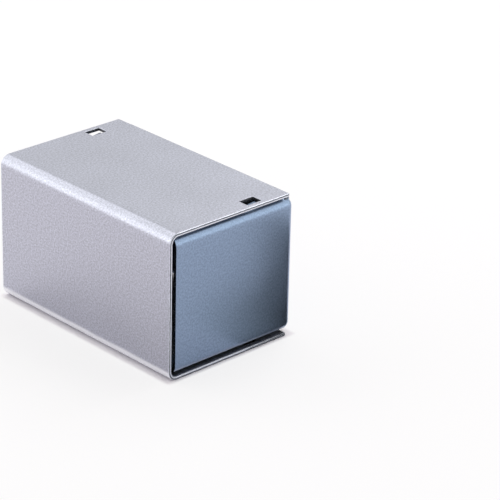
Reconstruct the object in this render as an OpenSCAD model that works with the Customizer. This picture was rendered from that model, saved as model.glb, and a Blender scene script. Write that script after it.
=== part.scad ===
// Snap-together aluminium enclosure: two sheets, each folded into a U, with the cover pushed over
// the base. The box lies on one leg of the cover. The cover's bends run along Y, the cover comes
// off along -X, and the origin is under the middle of the box.

/* [Outside size] */
// Length of the cover, along its bends
box_len = 72; // [60:1:140]
// Height over the cover's two legs
box_h = 43.6; // [34:0.1:80]
// Depth from the cover's web to the base's web
box_d = 46.2; // [36:0.1:80]

/* [Sheet] */
// Thickness of the sheet that both halves are folded from
sheet_t = 1; // [0.8:0.1:1.5]
// Inside radius of the cover's bends
cover_bend_r = 2; // [0.6:0.1:3]
// Inside radius of the base's bends
base_bend_r = 1.4; // [0.4:0.1:1.8]

/* [Cover] */
// How far the legs stop short of the base's outer face
leg_reveal = 2.4; // [0.6:0.1:4]
// Length of a snap slot, along the leg
slot_len = 5.2; // [4.6:0.1:8]
// Width of a snap slot
slot_w = 3.4; // [2.8:0.1:4.4]
// Corner radius of a snap slot
slot_corner_r = 0.3; // [0.1:0.05:0.8]
// From a slot's middle to the leg's free edge
slot_to_edge = 11.6; // [8:0.1:16]
// From a slot's middle to the end of the cover
slot_to_end = 3.4; // [3.2:0.1:5]

/* [Base] */
// Gap between an end panel's free edge and the cover's web
panel_gap = 1.5; // [0.6:0.1:3]
// How far an end panel stands back from the end of the cover
panel_recess = 0.2; // [0:0.1:0.6]
// Gap between a lip and the leg that lies over it
lip_gap = 0.5; // [0.3:0.05:0.8]
// Width of a lip, from the outer face of its end panel
lip_w = 8; // [7:0.5:14]
// Rounding of an end panel's corners beside the base's web
corner_r = 2.4; // [1:0.1:3]
// From the end of a lip to the rounded corner beside it
lip_relief = 0.8; // [0.4:0.1:2]

/* [Spring tongues] */
// Width of a tongue
tongue_w = 1.6; // [1.2:0.1:2]
// Length of a tongue, from its root to its tip
tongue_len = 4; // [3.4:0.1:4.2]
// Width of the cut between a tongue and its end panel
lance_cut = 0.5; // [0.3:0.05:0.7]
// Width of the opening on a tongue's other side
lance_open = 1.6; // [0.4:0.1:2]
// From a tongue's tip to the end of the opening
lance_end = 1.1; // [0.4:0.1:2]
// From a tongue's tip to the wall of the slot that it holds
tongue_play = 0.4; // [0.2:0.05:0.6]
// Gap left under the leg by a tongue that is pressed in
tongue_clear = 0.05; // [0.02:0.01:0.15]

/* [Hidden] */
$fn = 64;

// How far a cutting shape runs past the face that it cuts
cut_over = sheet_t;

// Cover: the web's outer face and the legs' free edges
web_x = -box_d / 2;
leg_d = box_d - leg_reveal;
slot_x = web_x + leg_d - slot_to_edge;
slot_y = box_len / 2 - slot_to_end;

// Base: outer faces, and the free edges of its end panels
base_x = box_d / 2;
base_len = box_len - 2 * panel_recess;
base_h = box_h - 2 * (sheet_t + lip_gap);
base_r = base_bend_r + sheet_t;
panel_x = web_x + sheet_t + panel_gap;
lip_end_x = base_x - corner_r - lip_relief;

// Tongues: each rises from its root towards the slot wall that holds it
tip_x = slot_x + slot_len / 2 - tongue_play;
root_x = tip_x - tongue_len;
tongue_rise = lip_gap - tongue_clear;

// Rectangle with round corners, about the origin
module rounded_rectangle(length, width, r) {
    square([length - 2 * r, width], center = true);
    square([length, width - 2 * r], center = true);
    for (x = [-1, 1], y = [-1, 1])
        translate([x * (length / 2 - r), y * (width / 2 - r)])
            circle(r);
}

// Section of a sheet folded into a U: the web stands on x = 0 and both legs run to x = depth
module channel(depth, width, bend_r) {
    outer_r = bend_r + sheet_t;
    translate([0, outer_r - width / 2])
        square([sheet_t, width - 2 * outer_r]);
    for (side = [0, 1])
        mirror([0, side]) {
            translate([outer_r, width / 2 - sheet_t])
                square([depth - outer_r, sheet_t]);
            translate([outer_r, width / 2 - outer_r])
                intersection() {
                    difference() {
                        circle(outer_r);
                        circle(bend_r);
                    }
                    translate([-outer_r, 0])
                        square(outer_r);
                }
        }
}

// Upright prisms, one near each end of the cover, that cut the slots of both legs
module slot_cutters() {
    for (y = [-slot_y, slot_y])
        translate([slot_x, y, -cut_over])
            linear_extrude(box_h + 2 * cut_over)
                rounded_rectangle(slot_len, slot_w, slot_corner_r);
}

// Outer sheet: the web at the left, and the legs above and below
module cover() {
    color([0.74, 0.75, 0.78])
        difference() {
            translate([web_x, box_len / 2, box_h / 2])
                rotate([90, 0, 0])
                    linear_extrude(box_len)
                        channel(leg_d, box_h, cover_bend_r);
            slot_cutters();
        }
}

// The base's web and end panels, with the panels' long edges rounded as the lips' bends are
module base_channel() {
    intersection() {
        translate([base_x, 0, (box_h - base_h) / 2])
            mirror([1, 0, 0])
                linear_extrude(base_h)
                    channel(base_x - panel_x, base_len, base_bend_r);
        translate([panel_x - cut_over, 0, box_h / 2])
            rotate([90, 0, 90])
                linear_extrude(base_x - panel_x + 2 * cut_over)
                    rounded_rectangle(base_len, base_h, base_r);
    }
}

// What is cut from the four corners where an end panel bends into the base's web
module corner_cutters() {
    for (end = [0, 1], side = [0, 1])
        mirror([0, end, 0])
            translate([base_x - corner_r, base_r - base_len / 2, box_h / 2])
                mirror([0, 0, side])
                    translate([0, 0, base_h / 2 - corner_r])
                        rotate([90, 0, 0])
                            linear_extrude(base_r + cut_over)
                                difference() {
                                    square(corner_r + cut_over);
                                    circle(corner_r);
                                }
}

// The end panels with the lips that are folded in under the legs
module lipped_panels() {
    for (end = [0, 1])
        mirror([0, end, 0])
            translate([panel_x, -base_len / 2, box_h / 2])
                rotate([90, 0, 90])
                    linear_extrude(lip_end_x - panel_x)
                        channel(lip_w, base_h, base_bend_r);
}

// Places its children at each lip, with z = 0 on the lip's outer face and y = 0 under the slot
module at_each_lip() {
    for (end = [0, 1], side = [0, 1])
        mirror([0, end, 0])
            translate([0, -slot_y, box_h / 2])
                mirror([0, 0, side])
                    translate([0, 0, base_h / 2])
                        children();
}

// Opening in a lip that a tongue stands in
module lance_window() {
    window_w = tongue_w + lance_cut + lance_open;
    translate([root_x, -tongue_w / 2 - lance_cut, -sheet_t - cut_over])
        cube([tongue_len + lance_end, window_w, sheet_t + 2 * cut_over]);
}

// Strip of the lip that is left standing in its window, bent up from the root to the tip
module tongue() {
    translate([root_x, tongue_w / 2, -sheet_t])
        rotate([90, 0, 0])
            linear_extrude(tongue_w)
                polygon([
                    [-sheet_t, 0],
                    [0, 0],
                    [tongue_len, tongue_rise],
                    [tongue_len, tongue_rise + sheet_t],
                    [0, sheet_t],
                    [-sheet_t, sheet_t]
                ]);
}

// Inner sheet: the web at the right, an end panel at each end, and a lip above and below each panel
module base() {
    color([0.55, 0.62, 0.72]) {
        difference() {
            union() {
                difference() {
                    base_channel();
                    corner_cutters();
                }
                lipped_panels();
            }
            at_each_lip()
                lance_window();
        }
        at_each_lip()
            tongue();
    }
}

cover();
base();
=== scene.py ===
"""Looks of a snap-together aluminium enclosure: two folded sheets, their metal and the studio."""

import math
from collections import namedtuple

import bpy
import numpy as np
from mathutils import Matrix, Quaternion, Vector


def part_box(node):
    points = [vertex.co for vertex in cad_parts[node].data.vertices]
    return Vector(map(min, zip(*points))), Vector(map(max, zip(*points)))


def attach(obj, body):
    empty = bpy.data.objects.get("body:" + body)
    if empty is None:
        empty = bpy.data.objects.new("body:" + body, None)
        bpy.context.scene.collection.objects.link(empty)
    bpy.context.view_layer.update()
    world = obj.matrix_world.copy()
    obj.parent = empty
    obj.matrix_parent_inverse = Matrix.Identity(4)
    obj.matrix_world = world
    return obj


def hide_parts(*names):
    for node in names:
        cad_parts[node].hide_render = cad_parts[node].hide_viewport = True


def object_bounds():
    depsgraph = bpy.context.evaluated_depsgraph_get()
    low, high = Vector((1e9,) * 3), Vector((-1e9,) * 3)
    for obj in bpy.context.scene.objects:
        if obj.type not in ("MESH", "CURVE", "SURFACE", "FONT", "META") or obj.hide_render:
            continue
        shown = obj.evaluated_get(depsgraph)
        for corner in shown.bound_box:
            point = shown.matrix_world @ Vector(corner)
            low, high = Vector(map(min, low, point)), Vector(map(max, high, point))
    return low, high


bl_info = {
    "name": "Folded aluminium enclosure",
    "version": (1, 0, 0),
    "blender": (4, 5, 0),
    "location": "3D View > Sidebar > Enclosure",
    "description": "Folds the cover and the base of a small aluminium box and lights them",
    "category": "Add Mesh",
}

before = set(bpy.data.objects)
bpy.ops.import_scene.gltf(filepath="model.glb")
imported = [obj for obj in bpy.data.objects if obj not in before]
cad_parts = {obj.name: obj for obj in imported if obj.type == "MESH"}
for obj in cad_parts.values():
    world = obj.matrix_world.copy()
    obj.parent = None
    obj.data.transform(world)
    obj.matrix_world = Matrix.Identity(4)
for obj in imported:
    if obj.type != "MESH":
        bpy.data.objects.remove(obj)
CAD_BOX = [list(corner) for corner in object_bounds()]
COVER_LOW, COVER_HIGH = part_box("cover")
BASE_LOW, BASE_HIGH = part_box("base")
MID_HEIGHT = (COVER_LOW.z + COVER_HIGH.z) / 2

MM = 0.001
QUARTER = math.pi / 2

# Sizes of the cells of a sheet's grid: on flats, round bends, beside free edges and on tongues
FLAT_STEP = 1.6 * MM
BEND_STEP = 0.28 * MM
EDGE_STEP = 0.5 * MM
TONGUE_STEP = 0.8 * MM
# Slit between an end panel's rounded corner and the long edge of the base's web
CORNER_SLIT = 0.08 * MM
# Places on a sheet that are closer than this, or the same to so many digits, are one place
NEAR = 0.001 * MM
PLACE_DIGITS = 7

# An outer face is in slot 0, or in the hole slot where it borders a hole.
# The edges and the inside behind it follow by these steps.
RIM_SLOT = 1
HOLE_SLOT = 2
INSIDE_SLOT = 4

ROUNDING_SEGMENTS = 3
SHARP_ANGLE = math.radians(40)

# Painted highlight along a bend, pale and rougher: how far off it is full, how far off it ends, its
# colour and its roughness
BendHighlight = namedtuple("BendHighlight", "full reach metal roughness")
COVER_HIGHLIGHT = BendHighlight(0.5 * MM, 1.7 * MM, (0.9, 0.91, 0.94), 0.65)
BASE_HIGHLIGHT = BendHighlight(0.3 * MM, 1.2 * MM, (0.56, 0.64, 0.78), 0.6)
# How far round a bend the line of its painted highlight is, from the flat that the bend starts at
COVER_HIGHLIGHT_TURN = math.radians(68)
BASE_HIGHLIGHT_TURN = math.radians(42)
# How far noise moves the painted highlight's line to either side
HIGHLIGHT_SWAY = 0.3 * MM
# Distance from the painted highlight's line of places that never get the highlight
FAR_FROM_HIGHLIGHT = 1.0

# Grain of a sheet: its scale along and across, how far it shades the metal, and its bump
Grain = namedtuple("Grain", "scale shade bump")
COVER_GRAIN = Grain((2000, 1750, 1), 0.2, 0.08)
BASE_GRAIN = Grain((1900, 1700, 1), 0.16, 0.03)
GRAIN_HEIGHT = 0.02 * MM
# How far the grain and the cloudy changes move a sheet's roughness, from its mean to either side
GRAIN_ROUGHNESS = 0.04
CLOUD_ROUGHNESS = 0.03

# Dark line on the cover's sheared edges: its depth, half its width where full and where it ends
DARK_LINE_DEPTH = 0.47 * MM
DARK_LINE_FULL = 0.1 * MM
DARK_LINE_REACH = 0.24 * MM
DARK_LINE_SWAY = 0.3 * MM
DARK_LINE_ROUGHNESS = 0.45
CUT_ROUGHNESS = 0.22
CUT_BUMP = 0.15
CUT_HEIGHT = 0.05 * MM
# Darkest and palest of a sheared finish, as shares of its metal
SHEARED_SHADES = (0.78, 1.12)

# Parts of a noise's range that are spread over a whole change of colour or of roughness
SPECKLE_SPAN = (0.36, 0.64)
UNEVEN_SPAN = (0.38, 0.62)
ROUGH_SPAN = (0.3, 0.7)

# Linear colours of the sheared edges, of the walls of holes and of the cover's inside
COVER_CUT = (0.72, 0.76, 0.83)
COVER_DARK_LINE = (0.1, 0.11, 0.125)
# The walls of the cover's slots are darkened well below its metal: painted shade in the slots
COVER_PUNCHED_SHADE = (0.16, 0.165, 0.18)
# The cover's inside is darkened well below its metal: painted shade, so the gaps between the halves
# look dark
COVER_INSIDE_SHADE = (0.29, 0.296, 0.325)
BASE_CUT = (0.5, 0.55, 0.64)
BASE_PUNCHED = (0.3, 0.34, 0.4)

# Sockets of a mix node: for colours, and for numbers
COLOUR_FROM, COLOUR_TO, COLOUR_RESULT = 6, 7, 2
NUMBER_FROM, NUMBER_TO = 2, 3
WHITE = (1, 1, 1, 1)

# Softboxes: name, the setting that holds its power, place, size and roll
SOFTBOXES = (
    ("key_softbox", "key", (0.6, 0.14, 0.84), (0.7, 0.7), 0.0),
    ("rim_softbox", "rim", (-0.36, 0.65, 0.53), (1.9, 0.5), math.radians(-31)),
    ("edge_softbox", "edge", (0.63, -0.6, 0.44), (0.6, 0.8), 0.0),
)
# Heights on the sky, as the sine of elevation, that the walls and the horizon's glow fade between
WALL_FADE = (0.35, 0.75)
HORIZON_FADE = (0.05, 0.25)

# Floor: half its width, how far it lies under the box, and the colour of its painted shade close
# under the base
FLOOR_HALF = 4.0
FLOOR_DROP = 0.05 * MM
FLOOR_SHADE = (0.03, 0.03, 0.03)
FLOOR_ROUGHNESS = 0.9
FLOOR_SPECULAR = 0.1
# Patches of the floor: middle, half size and fade
Patch = namedtuple("Patch", "middle half fade")
BOX_HALF = [(high - low) / 2 for low, high in zip(*CAD_BOX)][:2]
UNDER_BOX = Patch((0.0, 0.0), BOX_HALF, 1.5 * MM)
BESIDE_WEB = Patch((BASE_HIGH.x + 1.0 * MM, 0.0), (1.0 * MM, 22 * MM), 1.5 * MM)
UNDER_WEB = Patch((BASE_HIGH.x - 1.0 * MM, 0.0), (1.0 * MM, 26 * MM), 3.0 * MM)
UNDER_LIPS = Patch((0.0, 31 * MM), (17 * MM, 2.6 * MM), 2.0 * MM)
# How deep the painted shade is under the web and under the lips
WEB_SHADE = 0.85
LIPS_SHADE = 1.0

# Shade card of painted shade for the metal to reflect, from its pale edge on the floor to the top
# of its standing part: X, Z and nearer Y
CARD_X = np.array([6.0, 14.0, 22.0, 30.0, 36.0, 38.5, 38.5]) * MM
CARD_Z = np.array([0.3, 0.3, 0.3, 0.3, 1.5, 6.0, 25.0]) * MM
CARD_NEAR = np.array([-36.3, -36.3, -36.3, -36.3, -39.0, -42.0, -42.0]) * MM
CARD_FAR = -64.5 * MM
# The card darkens along this slope, between these places on it
CARD_SLOPE = (1.0, 0.75, -0.6)
CARD_FADE = (-36 * MM, -4 * MM)
CARD_PALE, CARD_DARK = 0.85, 0.03

SENSOR_WIDTH = 36.0
CLIP_START, CLIP_END = 0.01, 20.0


def length(name, description, default):
    """A length property, in metres."""
    return bpy.props.FloatProperty(
        name=name,
        description=description,
        default=default,
        min=0,
        precision=5,
        subtype="DISTANCE",
        unit="LENGTH",
    )


def share(name, description, default, most=1.0):
    """A plain number property between nothing and the most that it may be."""
    return bpy.props.FloatProperty(
        name=name, description=description, default=default, min=0, max=most
    )


def colour(name, description, default):
    """A linear colour property."""
    return bpy.props.FloatVectorProperty(
        name=name, description=description, default=default, size=3, min=0, max=1, subtype="COLOR"
    )


def angle(name, description, degrees):
    """An angle property, with its default in degrees."""
    return bpy.props.FloatProperty(
        name=name, description=description, default=math.radians(degrees), subtype="ANGLE"
    )


def power(name, description, default):
    """A light's power property, in watts."""
    return bpy.props.FloatProperty(
        name=name, description=description, default=default, min=0, unit="POWER"
    )


class CoverSettings(bpy.types.PropertyGroup):
    """Sizes and finish of the cover."""

    sheet: length("Sheet", "Thickness of the cover's sheet", 1.0 * MM)
    bend: length("Bend", "Outside radius of the cover's bends", 3.0 * MM)
    slot_length: length("Slot length", "Length of a snap slot, along the leg", 5.2 * MM)
    slot_width: length("Slot width", "Width of a snap slot", 3.4 * MM)
    slot_to_edge: length("Slot to edge", "From a slot's middle to the leg's free edge", 11.6 * MM)
    slot_to_end: length("Slot to end", "From a slot's middle to the end of the cover", 3.4 * MM)
    edge_round: length("Edge rounding", "Rounding of the sheared edges", 0.22 * MM)
    metal: colour("Metal", "Colour of the satin sheet", (0.51, 0.522, 0.592))
    roughness: share("Roughness", "Mean roughness of the satin sheet", 0.36)


class BaseSettings(bpy.types.PropertyGroup):
    """Sizes and finish of the base."""

    sheet: length("Sheet", "Thickness of the base's sheet", 1.0 * MM)
    bend: length("Bend", "Outside radius of the bends, apart from the upper lips'", 2.4 * MM)
    upper_bend: length("Upper bend", "Outside radius of the bends of the upper lips", 3.0 * MM)
    lip_gap: length("Lip gap", "Gap between a lip and the leg that lies over it", 0.5 * MM)
    lip_width: length("Lip width", "Width of a lip from its end panel's outer face", 8.0 * MM)
    corner: length("Corner", "Rounding of an end panel's corners beside the web", 2.4 * MM)
    lip_relief: length("Lip relief", "From the end of a lip to the rounded corner", 0.8 * MM)
    tongue_width: length("Tongue width", "Width of a spring tongue", 1.6 * MM)
    tongue_length: length("Tongue length", "Length of a spring tongue", 4.0 * MM)
    tongue_rise: length("Tongue rise", "How far a tongue's tip stands over its lip", 0.45 * MM)
    tongue_play: length("Tongue play", "From a tongue's tip to the wall of its slot", 0.4 * MM)
    lance_cut: length("Lance cut", "Width of the cut between a tongue and its panel", 0.5 * MM)
    lance_open: length("Lance opening", "Width of the opening on a tongue's other side", 1.6 * MM)
    lance_end: length("Lance end", "From a tongue's tip to the end of the opening", 1.1 * MM)
    edge_round: length("Edge rounding", "Rounding of the sheared edges", 0.1 * MM)
    metal: colour("Metal", "Colour of the rolled sheet", (0.26, 0.344, 0.475))
    roughness: share("Roughness", "Mean roughness of the rolled sheet", 0.32)


class StageSettings(bpy.types.PropertyGroup):
    """Camera and light."""

    place: bpy.props.FloatVectorProperty(
        name="Camera place",
        description="Where the camera stands",
        default=(-0.43387, -0.49529, 0.32357),
        size=3,
        precision=5,
        subtype="TRANSLATION",
        unit="LENGTH",
    )
    azimuth: angle("Azimuth", "Camera's turn about the box", -43.773)
    elevation: angle("Elevation", "Camera's angle above the horizon", 24.71)
    roll: angle("Roll", "Camera's turn about its own view line", 1.387)
    lens: bpy.props.FloatProperty(
        name="Lens",
        description="Focal length",
        default=184.88,
        min=1,
        unit="CAMERA",
        subtype="DISTANCE_CAMERA",
    )
    floor: colour("Floor", "Colour of the floor", (0.955, 0.915, 0.935))
    floor_lift: share("Floor lift", "How far the floor that is seen is lifted to white", 0.75)
    mirror_lift: share("Mirror lift", "How far the floor in reflections is lifted to white", 0.04)
    wall: share("Wall", "Strength of the light from the studio's pale walls", 0.83, 2.0)
    horizon: share("Horizon", "How much stronger that light is close to the floor", 0.62, 2.0)
    ceiling: share("Ceiling", "Strength of the light from the studio's ceiling", 0.4, 2.0)
    key: power("Key", "Power of the softbox above", 4.6)
    rim: power("Rim", "Power of the softbox behind", 3.8)
    edge: power("Edge", "Power of the softbox in front", 1.0)


def grid_lines(stops, steps):
    """Ascending grid lines through every stop, with each span cut evenly into cells of about its
    step."""
    spans = [
        np.linspace(low, high, max(1, round((high - low) / step)) + 1)[:-1]
        for low, high, step in zip(stops[:-1], stops[1:], steps)
    ]
    return np.concatenate([*spans, stops[-1:]])


def cell_middles(lines):
    """Places midway between each grid line and the next."""
    return (lines[:-1] + lines[1:]) / 2


def between(middles, low, high):
    """Which cells, given by their middles, lie between two places."""
    return (middles > low) & (middles < high)


def crossing(rows, columns):
    """Cells of a grid that are in a chosen row and in a chosen column."""
    return rows[:, None] & columns[None, :]


def fold_path(run, leg, web, radius):
    """A U walked from one free edge: out along a leg, round a quarter turn, along the web, round a
    quarter turn and back along the other leg. Returns how far the walk has gone along the first
    leg's way, how far across it, and how far it has turned. Each stretch counts only the part of
    the run that falls in it."""
    turn = QUARTER * radius
    first = np.clip(run, 0, leg)
    turn_1 = np.clip(run - leg, 0, turn) / radius
    middle = np.clip(run - leg - turn, 0, web)
    turn_2 = np.clip(run - leg - turn - web, 0, turn) / radius
    last = np.clip(run - leg - 2 * turn - web, 0, leg)
    along = first + radius * np.sin(turn_1) - radius * (1 - np.cos(turn_2)) - last
    across = radius * (1 - np.cos(turn_1)) + middle + radius * np.sin(turn_2)
    return along, across, turn_1 + turn_2


def beside_holes(metal_cells):
    """Cells of metal that share a side with a cell that is left out."""
    holes = np.pad(~metal_cells, 1)
    above, below = holes[:-2, 1:-1], holes[2:, 1:-1]
    before, after = holes[1:-1, :-2], holes[1:-1, 2:]
    return metal_cells & (above | below | before | after)


def sheet_mesh(name, points, metal_cells, blank, from_wear, finishes):
    """Outer face of a sheet: the kept cells of a grid of points. blank holds each point's place on
    the flat sheet and becomes the UV map, and from_wear its distance from the line of the painted
    highlight. finishes are those of the outer face, of the sheet's edges, of the walls of its holes
    and of its inside."""
    rows, columns = points.shape[:2]
    index = np.arange(rows * columns).reshape(rows, columns)
    around = [index[:-1, :-1], index[1:, :-1], index[1:, 1:], index[:-1, 1:]]
    used, corners = np.unique(np.stack(around, axis=-1)[metal_cells], return_inverse=True)
    faces = corners.reshape(-1, 4)
    mesh = bpy.data.meshes.new(name)
    mesh.from_pydata(points.reshape(-1, 3)[used].tolist(), [], faces.tolist())
    flat = blank.reshape(-1, 2)[used][faces.ravel()].astype(np.float32)
    mesh.uv_layers.new(name="blank").uv.foreach_set("vector", flat.ravel())
    highlight = mesh.attributes.new("from_wear", "FLOAT", "POINT")
    highlight.data.foreach_set("value", from_wear.ravel()[used].astype(np.float32))
    mesh.polygons.foreach_set("use_smooth", np.ones(len(faces), bool))
    face, edge, hole, inside = finishes
    for finish in (face, edge, face, hole, inside, inside, inside):
        mesh.materials.append(finish)
    slots = HOLE_SLOT * beside_holes(metal_cells)[metal_cells].astype(np.int32)
    mesh.polygons.foreach_set("material_index", slots)
    mesh.update()
    return mesh


def sheet_piece(name, mesh, sheet, edge_round):
    """A sheet-metal piece: an outer face thickened inwards, with rounded sheared edges."""
    piece = bpy.data.objects.new(name, mesh)
    bpy.context.scene.collection.objects.link(piece)
    wall = piece.modifiers.new("sheet", "SOLIDIFY")
    wall.thickness = sheet
    wall.offset = -1
    wall.use_even_offset = True
    wall.material_offset = INSIDE_SLOT
    wall.material_offset_rim = RIM_SLOT
    rounding = piece.modifiers.new("sheared edges", "BEVEL")
    rounding.width = edge_round
    rounding.segments = ROUNDING_SEGMENTS
    rounding.limit_method = "ANGLE"
    rounding.angle_limit = SHARP_ANGLE
    rounding.harden_normals = True
    return piece


def cover_blank(settings):
    """Grid of the cover: the run round the U from the lower leg's free edge, and the length along
    the bends. Slots are the cells that are left out near each end of each leg. Also returns the
    lengths of a leg and of the web between the bends."""
    leg = COVER_HIGH.x - COVER_LOW.x - settings.bend
    web = COVER_HIGH.z - COVER_LOW.z - 2 * settings.bend
    turn = QUARTER * settings.bend
    total = 2 * (leg + turn) + web
    near = settings.slot_to_edge - settings.slot_length / 2
    far = near + settings.slot_length
    half = np.array([0, EDGE_STEP, near, far, leg, leg + turn])
    half_steps = [EDGE_STEP, FLAT_STEP, FLAT_STEP, FLAT_STEP, BEND_STEP]
    run = grid_lines(
        np.array([*half, *(total - half[::-1])]), [*half_steps, FLAT_STEP, *half_steps[::-1]]
    )
    end = COVER_HIGH.y
    outer = end - settings.slot_to_end + settings.slot_width / 2
    inner = outer - settings.slot_width
    stops = np.array([inner, outer, end - EDGE_STEP, end])
    end_steps = [FLAT_STEP, FLAT_STEP, EDGE_STEP]
    y = grid_lines(np.array([*-stops[::-1], *stops]), [*end_steps[::-1], FLAT_STEP, *end_steps])
    run_middles, y_middles = cell_middles(run), cell_middles(y)
    in_leg = between(run_middles, near, far) | between(run_middles, total - far, total - near)
    in_end = between(y_middles, inner, outer) | between(y_middles, -outer, -inner)
    return run, y, ~crossing(in_leg, in_end), leg, web


def folded_cover(run, y, leg, web, radius):
    """Outer face of the cover: the U path starts at the lower leg's free edge and heads for the
    web, so its way along is against X and its way across is up. The length is carried straight
    through."""
    along, across, _ = fold_path(run, leg, web, radius)
    shape = (len(run), len(y))
    x = np.broadcast_to((COVER_HIGH.x - along)[:, None], shape)
    z = np.broadcast_to((COVER_LOW.z + across)[:, None], shape)
    return np.stack([x, np.broadcast_to(y, shape), z], axis=-1)


BasePlan = namedtuple(
    "BasePlan",
    "half_height panel web turn total root tip window_end lip_end slit_start"
    " middle window_out window_in",
)


def base_plan(settings, cover):
    """Places on the base's flat sheet. Along it: the lengths of a panel, of the web and of a turn,
    the whole run, and from a panel's free edge the tongue's root and tip, the ends of its window
    and of the lip, and the start of the slit beside the web. Across a lip, from the panel's outer
    face: the tongue's middle, which is the slot's, and both sides of its window."""
    depth = BASE_HIGH.x - BASE_LOW.x
    panel = depth - settings.bend
    web = BASE_HIGH.y - BASE_LOW.y - 2 * settings.bend
    turn = QUARTER * settings.bend
    slot_x = COVER_HIGH.x - cover.slot_to_edge
    tip = slot_x + cover.slot_length / 2 - settings.tongue_play - BASE_LOW.x
    middle = BASE_HIGH.y - (COVER_HIGH.y - cover.slot_to_end)
    tongue_half = settings.tongue_width / 2
    return BasePlan(
        half_height=(COVER_HIGH.z - COVER_LOW.z) / 2 - settings.sheet - settings.lip_gap,
        panel=panel,
        web=web,
        turn=turn,
        total=2 * (panel + turn) + web,
        root=tip - settings.tongue_length,
        tip=tip,
        window_end=tip + settings.lance_end,
        lip_end=depth - settings.corner - settings.lip_relief,
        slit_start=panel + turn - CORNER_SLIT,
        middle=middle,
        window_out=middle - tongue_half - settings.lance_cut,
        window_in=middle + tongue_half + settings.lance_open,
    )


def base_run(plan):
    """Grid lines of the base along its run round the U, with every place of the plan on a line at
    both ends."""
    lip_places = [0, EDGE_STEP, plan.root, plan.tip, plan.window_end, plan.lip_end]
    corner_places = [plan.panel, plan.slit_start, plan.panel + plan.turn]
    half = np.unique(np.round(lip_places + corner_places, PLACE_DIGITS))
    steps = np.where(half[:-1] > plan.lip_end - NEAR, BEND_STEP, FLAT_STEP)
    stops = np.concatenate([half, plan.total - half[::-1]])
    return grid_lines(stops, [*steps, FLAT_STEP, *steps[::-1]])


def lip_columns(settings, plan):
    """Grid lines across a lip, from the outer side of its window to its free edge."""
    tongue_half = settings.tongue_width / 2
    stops = [
        plan.window_out,
        plan.middle - tongue_half,
        plan.middle + tongue_half,
        plan.window_in,
        settings.lip_width - EDGE_STEP,
        settings.lip_width,
    ]
    return grid_lines(np.array(stops), [EDGE_STEP, TONGUE_STEP, EDGE_STEP, FLAT_STEP, EDGE_STEP])


def half_sheet(settings, plan, radius, lip_lines, in_web, in_corner):
    """Columns of one half of the base's sheet, outwards from the end of a panel's flat: round the
    bend as far as the lip's window, then across the lip. In the corners they stop where the bend
    is the sheet's thickness in, and in the web they are spread as far as its long edge."""
    flat = plan.half_height - radius
    lip_start = flat + (QUARTER - 1) * radius + plan.window_out
    trimmed = flat + radius * math.acos(1 - settings.sheet / radius)
    reach = np.where(in_web, flat + radius / 2, np.where(in_corner, trimmed, lip_start))[:, None]
    beyond = np.where(in_web, radius / 2, settings.lip_width - plan.window_out)[:, None]
    bend_share = np.linspace(0, 1, round((lip_start - flat) / BEND_STEP) + 1)[1:]
    lip_share = ((lip_lines - lip_lines[0]) / (lip_lines[-1] - lip_lines[0]))[1:]
    in_bend = flat + (reach - flat) * bend_share
    return np.concatenate([in_bend, reach + beyond * lip_share], axis=1)


def base_metal(plan, tongue_half, from_edge, lip_middle, is_top):
    """Cells of the base that are metal: all but the lips' strips round the corners, the slit
    beside the web and the windows, and again the tongues that stand in the windows."""
    middles = cell_middles(from_edge)
    corner = between(middles, plan.lip_end, plan.panel + plan.turn)
    slit = corner & (middles > plan.slit_start)
    window = between(middles, plan.root, plan.window_end)
    tongue = between(middles, plan.root, plan.tip)
    metal = ~crossing(corner, lip_middle > 0)
    metal &= ~crossing(slit, is_top)
    metal &= ~crossing(window, between(lip_middle, plan.window_out, plan.window_in))
    return metal | crossing(tongue, np.abs(lip_middle - plan.middle) < tongue_half)


def base_blank(settings, plan):
    """Grid of the base: the run round its U from one panel's free edge, and the way across the
    sheet from mid height. Past the end of a lip only the sheet's own thickness of its bend is
    left, round the corner as far as the web. Lips and the tops of the web share columns. Also
    returns the metal cells, how far each place rises with its tongue, and which lines are in the
    web."""
    run = base_run(plan)
    from_edge = np.minimum(run, plan.total - run)
    in_web = from_edge > plan.panel + plan.turn - NEAR
    in_corner = (from_edge > plan.lip_end + NEAR) & ~in_web

    lip_lines = lip_columns(settings, plan)
    lower, upper = (
        half_sheet(settings, plan, bend, lip_lines, in_web, in_corner)
        for bend in (settings.bend, settings.upper_bend)
    )
    flat_ends = [settings.bend - plan.half_height, plan.half_height - settings.upper_bend]
    flat_lines = grid_lines(np.array(flat_ends), [FLAT_STEP])
    flat = np.broadcast_to(flat_lines, (len(run), len(flat_lines)))
    across = np.concatenate([-lower[:, ::-1], flat, upper], axis=1)

    columns = across.shape[1]
    is_top = np.zeros(columns - 1, bool)
    is_top[: lower.shape[1]] = is_top[-upper.shape[1] :] = True
    # Columns that are on no lip are given a place endlessly far from every lip
    lip_place = np.full(columns, -np.inf)
    lip_place[: len(lip_lines)] = lip_lines[::-1]
    lip_place[-len(lip_lines) :] = lip_lines
    tongue_half = settings.tongue_width / 2
    metal = base_metal(plan, tongue_half, from_edge, cell_middles(lip_place), is_top)

    on_tongue = np.abs(lip_place - plan.middle) < tongue_half + NEAR
    ramp = np.clip((from_edge - plan.root) / settings.tongue_length, 0, 1)
    ramp = ramp * (from_edge < plan.tip + NEAR)
    rise = settings.tongue_rise * ramp[:, None] * on_tongue[None, :]
    return run, across, metal, rise, in_web


def lip_section(across, half_height, lower, upper, bent):
    """Section of an end panel with its lips, walked from mid height: up the flat, round a quarter
    turn, then inwards. lower and upper are the outside radii of the two turns. Returns how far in
    and how high each place is. Where bent is false the sheet stays flat, as in the web."""
    size = np.abs(across)
    radius = np.where(across < 0, lower, upper)
    flat = half_height - radius
    turn = np.clip(size - flat, 0, QUARTER * radius) / radius
    lip = np.clip(size - flat - QUARTER * radius, 0, None)
    inwards = np.where(bent, radius * (1 - np.cos(turn)) + lip, 0)
    height = np.where(bent, np.minimum(size, flat) + radius * np.sin(turn), size)
    return inwards, np.sign(across) * height


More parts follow.
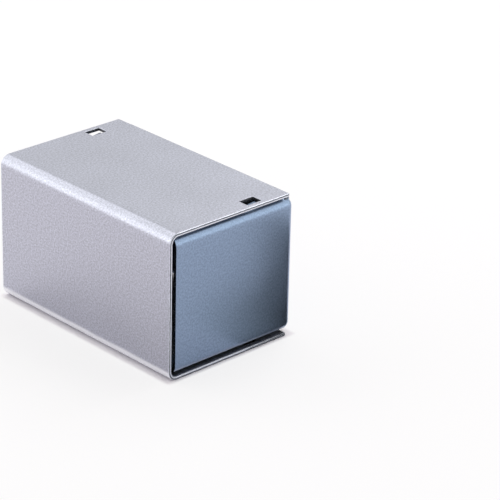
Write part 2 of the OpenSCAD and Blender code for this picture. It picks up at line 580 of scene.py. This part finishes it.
def folded_base(run, across, rise, in_web, plan, lower, upper):
    """Outer face of the base: the U path runs along one panel, the web and the other panel. Each
    place then moves inwards and up by its place in the lip section, and a tongue's places rise
    away from mid height. lower and upper are the bends' radii."""
    along, over, turned = fold_path(run, plan.panel, plan.web, lower)
    inwards, height = lip_section(across, plan.half_height, lower, upper, ~in_web[:, None])
    x = BASE_LOW.x + along[:, None] - np.sin(turned)[:, None] * inwards
    y = BASE_LOW.y + over[:, None] + np.cos(turned)[:, None] * inwards
    z = MID_HEIGHT + height + np.sign(across) * rise
    return np.stack([x, y, z], axis=-1)


def shader(tree, kind, options=None, inputs=None):
    """Adds a shader node. options are the node's own choices, and inputs are values or other
    nodes' outputs."""
    node = tree.nodes.new(kind)
    for name, value in (options or {}).items():
        setattr(node, name, value)
    for name, value in (inputs or {}).items():
        if isinstance(value, bpy.types.NodeSocket):
            tree.links.new(value, node.inputs[name])
        else:
            node.inputs[name].default_value = value
    return node


def number(tree, operation, *values, clamp=False):
    """Result of an operation on numbers."""
    options = {"operation": operation, "use_clamp": clamp}
    return shader(tree, "ShaderNodeMath", options, dict(enumerate(values))).outputs[0]


def vector(tree, operation, *values, result="Vector"):
    """Result of an operation on vectors."""
    options = {"operation": operation}
    return shader(tree, "ShaderNodeVectorMath", options, dict(enumerate(values))).outputs[result]


def ramped(tree, value, span, low, high, interpolation="LINEAR"):
    """A number that goes from low to high while value crosses the span, and holds past both
    ends."""
    options = {"interpolation_type": interpolation}
    start, end = span
    limits = {"From Min": start, "From Max": end, "To Min": low, "To Max": high}
    node = shader(tree, "ShaderNodeMapRange", options, {"Value": value, **limits})
    return node.outputs["Result"]


def eased(tree, value, span, low, high):
    """A number that goes from low to high as a ramped one does, with soft ends."""
    return ramped(tree, value, span, low, high, "SMOOTHSTEP")


def noise(tree, place, scale, detail, roughness):
    """Noise between nothing and one at a place."""
    inputs = {"Vector": place, "Scale": scale, "Detail": detail, "Roughness": roughness}
    return shader(tree, "ShaderNodeTexNoise", inputs=inputs).outputs["Fac"]


def mixed_colour(tree, factor, start, end):
    """A colour from start to end by a factor."""
    inputs = {0: factor, COLOUR_FROM: start, COLOUR_TO: end}
    node = shader(tree, "ShaderNodeMix", {"data_type": "RGBA"}, inputs)
    return node.outputs[COLOUR_RESULT]


def mixed_number(tree, factor, start, end):
    """A number from start to end by a factor."""
    inputs = {0: factor, NUMBER_FROM: start, NUMBER_TO: end}
    return shader(tree, "ShaderNodeMix", {"data_type": "FLOAT"}, inputs).outputs[0]


def raised(tree, height, strength, distance):
    """A surface normal bumped by a height."""
    inputs = {"Strength": strength, "Distance": distance, "Height": height}
    return shader(tree, "ShaderNodeBump", inputs=inputs).outputs["Normal"]


def shaded(metal, factor=1.0):
    """An opaque colour: a metal's colour made darker or paler by a factor, and never past white."""
    return (*(min(1.0, channel * factor) for channel in metal), 1.0)


def new_finish(name):
    """An empty material, with its node tree and its output node."""
    material = bpy.data.materials.new(name)
    material.use_nodes = True
    tree = material.node_tree
    tree.nodes.clear()
    return material, tree, tree.nodes.new("ShaderNodeOutputMaterial")


def metal_surface(tree, output, tint, roughness, **others):
    """Bare metal as a finish's surface."""
    inputs = {"Base Color": tint, "Metallic": 1.0, "Roughness": roughness, **others}
    surface = shader(tree, "ShaderNodeBsdfPrincipled", inputs=inputs)
    tree.links.new(surface.outputs[0], output.inputs["Surface"])


def painted_highlight_band(tree, cloud, bend_highlight):
    """How far a place takes the painted highlight: full close to the highlight's line and none a
    little way off, moved to and fro by the cloudy noise."""
    from_wear = shader(tree, "ShaderNodeAttribute", {"attribute_name": "from_wear"}).outputs["Fac"]
    sway = number(tree, "MULTIPLY_ADD", cloud, 2 * HIGHLIGHT_SWAY, -HIGHLIGHT_SWAY)
    distance = number(tree, "ABSOLUTE", number(tree, "ADD", from_wear, sway))
    return eased(tree, distance, (bend_highlight.full, bend_highlight.reach), 1.0, 0.0)


def sheet_finish(name, metal, roughness, grain, bend_highlight):
    """Satin metal: fine grain in colour, roughness and bump, stretched along the sheet, over slow
    cloudy changes of roughness from handling, with a painted highlight along a bend that is pale
    and rougher."""
    material, tree, output = new_finish(name)
    place = shader(tree, "ShaderNodeTexCoord").outputs["UV"]
    stretched = shader(tree, "ShaderNodeMapping", inputs={"Vector": place, "Scale": grain.scale})
    fine = noise(tree, stretched.outputs["Vector"], scale=1.0, detail=3.0, roughness=0.6)
    cloud = noise(tree, place, scale=70.0, detail=4.0, roughness=0.55)
    # How far each place takes the painted highlight along the bend
    highlight = painted_highlight_band(tree, cloud, bend_highlight)
    speckle = ramped(tree, fine, SPECKLE_SPAN, 0.0, 1.0)
    dark, pale = shaded(metal, 1 - grain.shade), shaded(metal, 1 + grain.shade)
    grained = mixed_colour(tree, speckle, dark, pale)
    # Painted highlight: the metal turns pale along the bend's line
    tint = mixed_colour(tree, highlight, grained, shaded(bend_highlight.metal))
    least, most = roughness - CLOUD_ROUGHNESS, roughness + CLOUD_ROUGHNESS
    handled = ramped(tree, cloud, ROUGH_SPAN, least, most)
    smoothest = number(tree, "SUBTRACT", handled, GRAIN_ROUGHNESS)
    satin = number(tree, "MULTIPLY_ADD", fine, 2 * GRAIN_ROUGHNESS, smoothest)
    rough = mixed_number(tree, highlight, satin, bend_highlight.roughness)
    metal_surface(tree, output, tint, rough, Normal=raised(tree, fine, grain.bump, GRAIN_HEIGHT))
    return material


def depth_in_cover(tree, place, bend):
    """How far under the cover's outer face a place in its sheet is. The outer face is a rounded
    rectangle that is open on the base's side, so the depth is the bend's radius less the distance
    from the line of the bends' centres."""
    from_middle = vector(tree, "SUBTRACT", place, (0.0, 0.0, MID_HEIGHT))
    folded = vector(tree, "ABSOLUTE", from_middle)
    height = shader(tree, "ShaderNodeSeparateXYZ", inputs={"Vector": folded}).outputs["Z"]
    x = shader(tree, "ShaderNodeSeparateXYZ", inputs={"Vector": place}).outputs["X"]
    flat = (COVER_HIGH.z - COVER_LOW.z) / 2 - bend
    up = number(tree, "SUBTRACT", height, flat, clamp=True)
    back = number(tree, "SUBTRACT", COVER_LOW.x + bend, x, clamp=True)
    corner = shader(tree, "ShaderNodeCombineXYZ", inputs={"X": back, "Z": up}).outputs["Vector"]
    return number(tree, "SUBTRACT", bend, vector(tree, "LENGTH", corner, result="Value"))


def sheared_cover_finish(name, cut, dark_line, bend):
    """Sheared edge of the cover: bright metal that the blade cut, with a dark line a third of the
    way in from the outer face. Noise moves the line to and fro."""
    material, tree, output = new_finish(name)
    place = shader(tree, "ShaderNodeTexCoord").outputs["Object"]
    marks = noise(tree, place, scale=900.0, detail=3.0, roughness=0.6)
    line = number(tree, "MULTIPLY_ADD", marks, DARK_LINE_SWAY, depth_in_cover(tree, place, bend))
    off_line = number(tree, "ABSOLUTE", number(tree, "SUBTRACT", line, DARK_LINE_DEPTH))
    darkened = eased(tree, off_line, (DARK_LINE_FULL, DARK_LINE_REACH), 1.0, 0.0)
    tint = mixed_colour(tree, darkened, shaded(cut), shaded(dark_line))
    rough = mixed_number(tree, darkened, CUT_ROUGHNESS, DARK_LINE_ROUGHNESS)
    metal_surface(tree, output, tint, rough, Normal=raised(tree, marks, CUT_BUMP, CUT_HEIGHT))
    return material


def sheared_finish(name, metal, smooth, coarse):
    """Bare sheared metal: fine uneven marks of the blade in its colour and in its roughness, which
    lies between smooth and coarse."""
    material, tree, output = new_finish(name)
    place = shader(tree, "ShaderNodeTexCoord").outputs["Object"]
    marks = noise(tree, place, scale=2600.0, detail=2.0, roughness=0.6)
    patches = noise(tree, place, scale=260.0, detail=2.0, roughness=0.5)
    uneven = ramped(tree, mixed_number(tree, 0.5, marks, patches), UNEVEN_SPAN, 0.0, 1.0)
    tint = mixed_colour(tree, uneven, *(shaded(metal, factor) for factor in SHEARED_SHADES))
    metal_surface(tree, output, tint, ramped(tree, marks, ROUGH_SPAN, smooth, coarse))
    return material


class ENCLOSURE_OT_cover(bpy.types.Operator):
    """Fold the cover from its blank"""

    bl_idname = "enclosure.cover"
    bl_label = "Cover"

    def execute(self, context):
        """Builds the cover's sheet and hands it to the frame."""
        settings = context.scene.enclosure_cover
        run, y, metal_cells, leg, web = cover_blank(settings)
        points = folded_cover(run, y, leg, web, settings.bend)
        blank = np.stack(np.meshgrid(run, y, indexing="ij"), axis=-1)
        # Distance from the line of the painted highlight on the cover's lower bend
        from_wear = blank[..., 0] - (leg + settings.bend * COVER_HIGHLIGHT_TURN)
        metal = tuple(settings.metal)
        finishes = [
            sheet_finish("satin_sheet", metal, settings.roughness, COVER_GRAIN, COVER_HIGHLIGHT),
            sheared_cover_finish("sheared_satin_sheet", COVER_CUT, COVER_DARK_LINE, settings.bend),
            # Walls of the cover's slots: punched metal darkened with painted shade
            sheared_finish("punched_satin_sheet", COVER_PUNCHED_SHADE, smooth=0.4, coarse=0.6),
            # Inside of the cover: painted shade that darkens the gaps between the halves
            sheared_finish("dull_inside_sheet", COVER_INSIDE_SHADE, smooth=0.38, coarse=0.5),
        ]
        mesh = sheet_mesh("cover_sheet", points, metal_cells, blank, from_wear, finishes)
        piece = sheet_piece("cover_sheet", mesh, settings.sheet, settings.edge_round)
        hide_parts("cover")
        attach(piece, "cover")
        return {"FINISHED"}


class ENCLOSURE_OT_base(bpy.types.Operator):
    """Fold the base, its lips and its spring tongues from their blank"""

    bl_idname = "enclosure.base"
    bl_label = "Base"

    def execute(self, context):
        """Builds the base's sheet and hands it to the frame."""
        settings = context.scene.enclosure_base
        plan = base_plan(settings, context.scene.enclosure_cover)
        run, across, metal_cells, rise, in_web = base_blank(settings, plan)
        points = folded_base(run, across, rise, in_web, plan, settings.bend, settings.upper_bend)
        blank = np.stack([np.broadcast_to(run[:, None], across.shape), across], axis=-1)
        # Distance from the line of the painted highlight on the lower lips' bends; the web never
        # gets it
        highlight_line = settings.bend * (1 - BASE_HIGHLIGHT_TURN) - plan.half_height
        from_wear = np.where(in_web[:, None], FAR_FROM_HIGHLIGHT, across - highlight_line)
        metal = tuple(settings.metal)
        rolled = sheet_finish("rolled_sheet", metal, settings.roughness, BASE_GRAIN, BASE_HIGHLIGHT)
        finishes = [
            rolled,
            sheared_finish("sheared_rolled_sheet", BASE_CUT, smooth=0.12, coarse=0.3),
            sheared_finish("punched_rolled_sheet", BASE_PUNCHED, smooth=0.3, coarse=0.5),
            rolled,
        ]
        mesh = sheet_mesh("base_sheet", points, metal_cells, blank, from_wear, finishes)
        piece = sheet_piece("base_sheet", mesh, settings.sheet, settings.edge_round)
        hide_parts("base")
        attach(piece, "base")
        return {"FINISHED"}


class ENCLOSURE_OT_stage(bpy.types.Operator):
    """Lay the floor, hang the light and place the camera"""

    bl_idname = "enclosure.stage"
    bl_label = "Stage"

    def execute(self, context):
        """Builds the studio round the box."""
        settings = context.scene.enclosure_stage
        lay_floor(settings)
        light_sky(settings)
        for name, setting, place, size, roll in SOFTBOXES:
            hang_softbox(name, place, size, getattr(settings, setting), roll)
        stand_shade_card()
        stand_camera(settings)
        context.scene.view_settings.view_transform = "Standard"
        return {"FINISHED"}


def soft_patch(tree, place, patch, inside, outside):
    """A number that is inside on a rectangular patch of the floor and eases to outside over a fade
    round it. It follows the distance from the patch."""
    folded = vector(tree, "ABSOLUTE", vector(tree, "SUBTRACT", place, (*patch.middle, 0.0)))
    past = vector(tree, "SUBTRACT", folded, (*patch.half, 1.0))
    beyond = vector(tree, "MAXIMUM", past, (0.0, 0.0, 0.0))
    away = vector(tree, "LENGTH", beyond, result="Value")
    return eased(tree, away, (0.0, patch.fade), inside, outside)


def shade_under_base(tree, place):
    """How far a place on the floor takes painted shade from the base close above it: under its web
    and under its lips, which are the same at both ends."""
    web = soft_patch(tree, place, UNDER_WEB, WEB_SHADE, 0.0)
    lips = soft_patch(tree, vector(tree, "ABSOLUTE", place), UNDER_LIPS, LIPS_SHADE, 0.0)
    return number(tree, "MAXIMUM", web, lips)


def floor_lift(tree, place, settings):
    """How far the floor is lifted to plain white: by one setting where it is seen straight and by
    another where it is seen in the metal, but not under the box or close beside its web."""
    ray = shader(tree, "ShaderNodeLightPath").outputs
    mirrored = number(tree, "MAXIMUM", ray["Is Glossy Ray"], ray["Is Transmission Ray"])
    faint = number(tree, "MULTIPLY", mirrored, settings.mirror_lift)
    seen = number(tree, "MULTIPLY_ADD", ray["Is Camera Ray"], settings.floor_lift, faint)
    off_box = soft_patch(tree, place, UNDER_BOX, 0.0, 1.0)
    off_web = soft_patch(tree, place, BESIDE_WEB, 0.0, 1.0)
    return number(tree, "MULTIPLY", seen, number(tree, "MULTIPLY", off_box, off_web))


def floor_finish(settings):
    """Pale paper with painted shade under the base, that is lifted part of the way to plain white
    where it is seen, so that shadows on it stay faint."""
    material, tree, output = new_finish("pale_floor")
    material.cycles.emission_sampling = "NONE"
    place = shader(tree, "ShaderNodeTexCoord").outputs["Object"]
    # Painted shade: the paper's colour darkens under the base's web and lips
    under = shade_under_base(tree, place)
    paper = shader(
        tree,
        "ShaderNodeBsdfPrincipled",
        inputs={
            "Base Color": mixed_colour(tree, under, (*settings.floor, 1.0), (*FLOOR_SHADE, 1.0)),
            "Roughness": FLOOR_ROUGHNESS,
            "Specular IOR Level": FLOOR_SPECULAR,
        },
    )
    white = shader(tree, "ShaderNodeEmission", inputs={"Color": WHITE, "Strength": 1.0})
    lift = floor_lift(tree, place, settings)
    inputs = {0: lift, 1: paper.outputs[0], 2: white.outputs[0]}
    surface = shader(tree, "ShaderNodeMixShader", inputs=inputs)
    tree.links.new(surface.outputs[0], output.inputs["Surface"])
    return material


def lay_floor(settings):
    """A wide plain floor just under the box."""
    low, high, z = -FLOOR_HALF, FLOOR_HALF, -FLOOR_DROP
    corners = [(low, low, z), (high, low, z), (high, high, z), (low, high, z)]
    mesh = bpy.data.meshes.new("floor")
    mesh.from_pydata(corners, [], [(0, 1, 2, 3)])
    mesh.materials.append(floor_finish(settings))
    floor = bpy.data.objects.new("floor", mesh)
    bpy.context.scene.collection.objects.link(floor)


def light_sky(settings):
    """Light from all round: pale walls, strongest at the horizon, that fade evenly to a darker
    ceiling."""
    world = bpy.data.worlds.new("studio")
    world.use_nodes = True
    tree = world.node_tree
    tree.nodes.clear()
    direction = shader(tree, "ShaderNodeTexCoord").outputs["Generated"]
    height = shader(tree, "ShaderNodeSeparateXYZ", inputs={"Vector": direction}).outputs["Z"]
    walls = eased(tree, height, WALL_FADE, settings.wall, settings.ceiling)
    glow = eased(tree, height, HORIZON_FADE, settings.horizon, 0.0)
    strength = number(tree, "ADD", walls, glow)
    light = shader(tree, "ShaderNodeBackground", inputs={"Color": WHITE, "Strength": strength})
    output = tree.nodes.new("ShaderNodeOutputWorld")
    tree.links.new(light.outputs[0], output.inputs["Surface"])
    bpy.context.scene.world = world


def card_finish():
    """Matt grey that darkens evenly along the card's slope: painted shade for the metal to reflect.
    """
    material, tree, output = new_finish("graded_card")
    place = shader(tree, "ShaderNodeTexCoord").outputs["Object"]
    slope = vector(tree, "DOT_PRODUCT", place, CARD_SLOPE, result="Value")
    grey = ramped(tree, slope, CARD_FADE, CARD_PALE, CARD_DARK)
    surface = shader(tree, "ShaderNodeBsdfDiffuse", inputs={"Color": grey})
    tree.links.new(surface.outputs[0], output.inputs["Surface"])
    return material


def stand_shade_card():
    """A graded card of painted shade that only the metal's reflections show: a strip along Y that
    lies on the floor, pale at its edge, and darkens towards the part that stands."""
    along = np.stack([CARD_NEAR, np.full_like(CARD_NEAR, CARD_FAR)], axis=1)
    x, z = (np.broadcast_to(line[:, None], along.shape) for line in (CARD_X, CARD_Z))
    points = np.stack([x, along, z], axis=-1)
    index = np.arange(along.size).reshape(along.shape)
    cells = np.stack([index[:-1, 0], index[:-1, 1], index[1:, 1], index[1:, 0]], axis=-1)
    mesh = bpy.data.meshes.new("shade_card")
    mesh.from_pydata(points.reshape(-1, 3).tolist(), [], cells.tolist())
    mesh.materials.append(card_finish())
    card = bpy.data.objects.new("shade_card", mesh)
    bpy.context.scene.collection.objects.link(card)
    card.visible_camera = card.visible_diffuse = card.visible_shadow = False


def hang_softbox(name, place, size, watts, roll):
    """A rectangular softbox that faces the box from the given place, turned by roll about the line
    between them."""
    lamp = bpy.data.lights.new(name, "AREA")
    lamp.shape = "RECTANGLE"
    lamp.size, lamp.size_y = size
    lamp.energy = watts
    softbox = bpy.data.objects.new(name, lamp)
    bpy.context.scene.collection.objects.link(softbox)
    middle = Vector(place)
    facing = (-middle).to_track_quat("-Z", "Y")
    softbox.location = middle
    softbox.rotation_mode = "QUATERNION"
    softbox.rotation_quaternion = facing @ Quaternion((0.0, 0.0, 1.0), roll)


def stand_camera(settings):
    """A long lens at the given place. Its axes follow azimuth, elevation and roll."""
    a, e, r = settings.azimuth, settings.elevation, settings.roll
    back = np.array([math.sin(a) * math.cos(e), -math.cos(a) * math.cos(e), math.sin(e)])
    level = np.array([math.cos(a), math.sin(a), 0.0])
    upright = np.cross(back, level)
    right = math.cos(r) * level + math.sin(r) * upright
    up = math.cos(r) * upright - math.sin(r) * level
    lens = bpy.data.cameras.new("camera")
    lens.lens = settings.lens
    lens.sensor_width = SENSOR_WIDTH
    lens.clip_start, lens.clip_end = CLIP_START, CLIP_END
    camera = bpy.data.objects.new("camera", lens)
    bpy.context.scene.collection.objects.link(camera)
    axes = np.eye(4)
    axes[:3] = np.stack([right, up, back, np.array(settings.place)], axis=1)
    camera.matrix_world = Matrix(axes.tolist())
    bpy.context.scene.camera = camera


class ENCLOSURE_PT_panel(bpy.types.Panel):
    """Pieces of the enclosure and their settings"""

    bl_idname = "ENCLOSURE_PT_panel"
    bl_label = "Enclosure"
    bl_space_type = "VIEW_3D"
    bl_region_type = "UI"
    bl_category = "Enclosure"

    def draw(self, context):
        """Shows each operator with its settings under it."""
        for operator, group in PIECES:
            box = self.layout.box()
            box.operator(operator.bl_idname)
            settings = getattr(context.scene, group)
            for name in settings.__annotations__:
                box.prop(settings, name)


PIECES = (
    (ENCLOSURE_OT_cover, "enclosure_cover"),
    (ENCLOSURE_OT_base, "enclosure_base"),
    (ENCLOSURE_OT_stage, "enclosure_stage"),
)
GROUPS = {
    "enclosure_cover": CoverSettings,
    "enclosure_base": BaseSettings,
    "enclosure_stage": StageSettings,
}


def register():
    """Adds the settings to the scene, then the operators and the panel."""
    for group in GROUPS.values():
        bpy.utils.register_class(group)
    for name, group in GROUPS.items():
        setattr(bpy.types.Scene, name, bpy.props.PointerProperty(type=group))
    for operator, _ in PIECES:
        bpy.utils.register_class(operator)
    bpy.utils.register_class(ENCLOSURE_PT_panel)


def unregister():
    """Takes away all that register added, in the opposite order."""
    bpy.utils.unregister_class(ENCLOSURE_PT_panel)
    for operator, _ in reversed(PIECES):
        bpy.utils.unregister_class(operator)
    for name in GROUPS:
        delattr(bpy.types.Scene, name)
    for group in reversed(GROUPS.values()):
        bpy.utils.unregister_class(group)


def main():
    """Builds both pieces and the stage."""
    register()
    bpy.ops.enclosure.cover()
    bpy.ops.enclosure.base()
    bpy.ops.enclosure.stage()


if __name__ == "__main__":
    main()
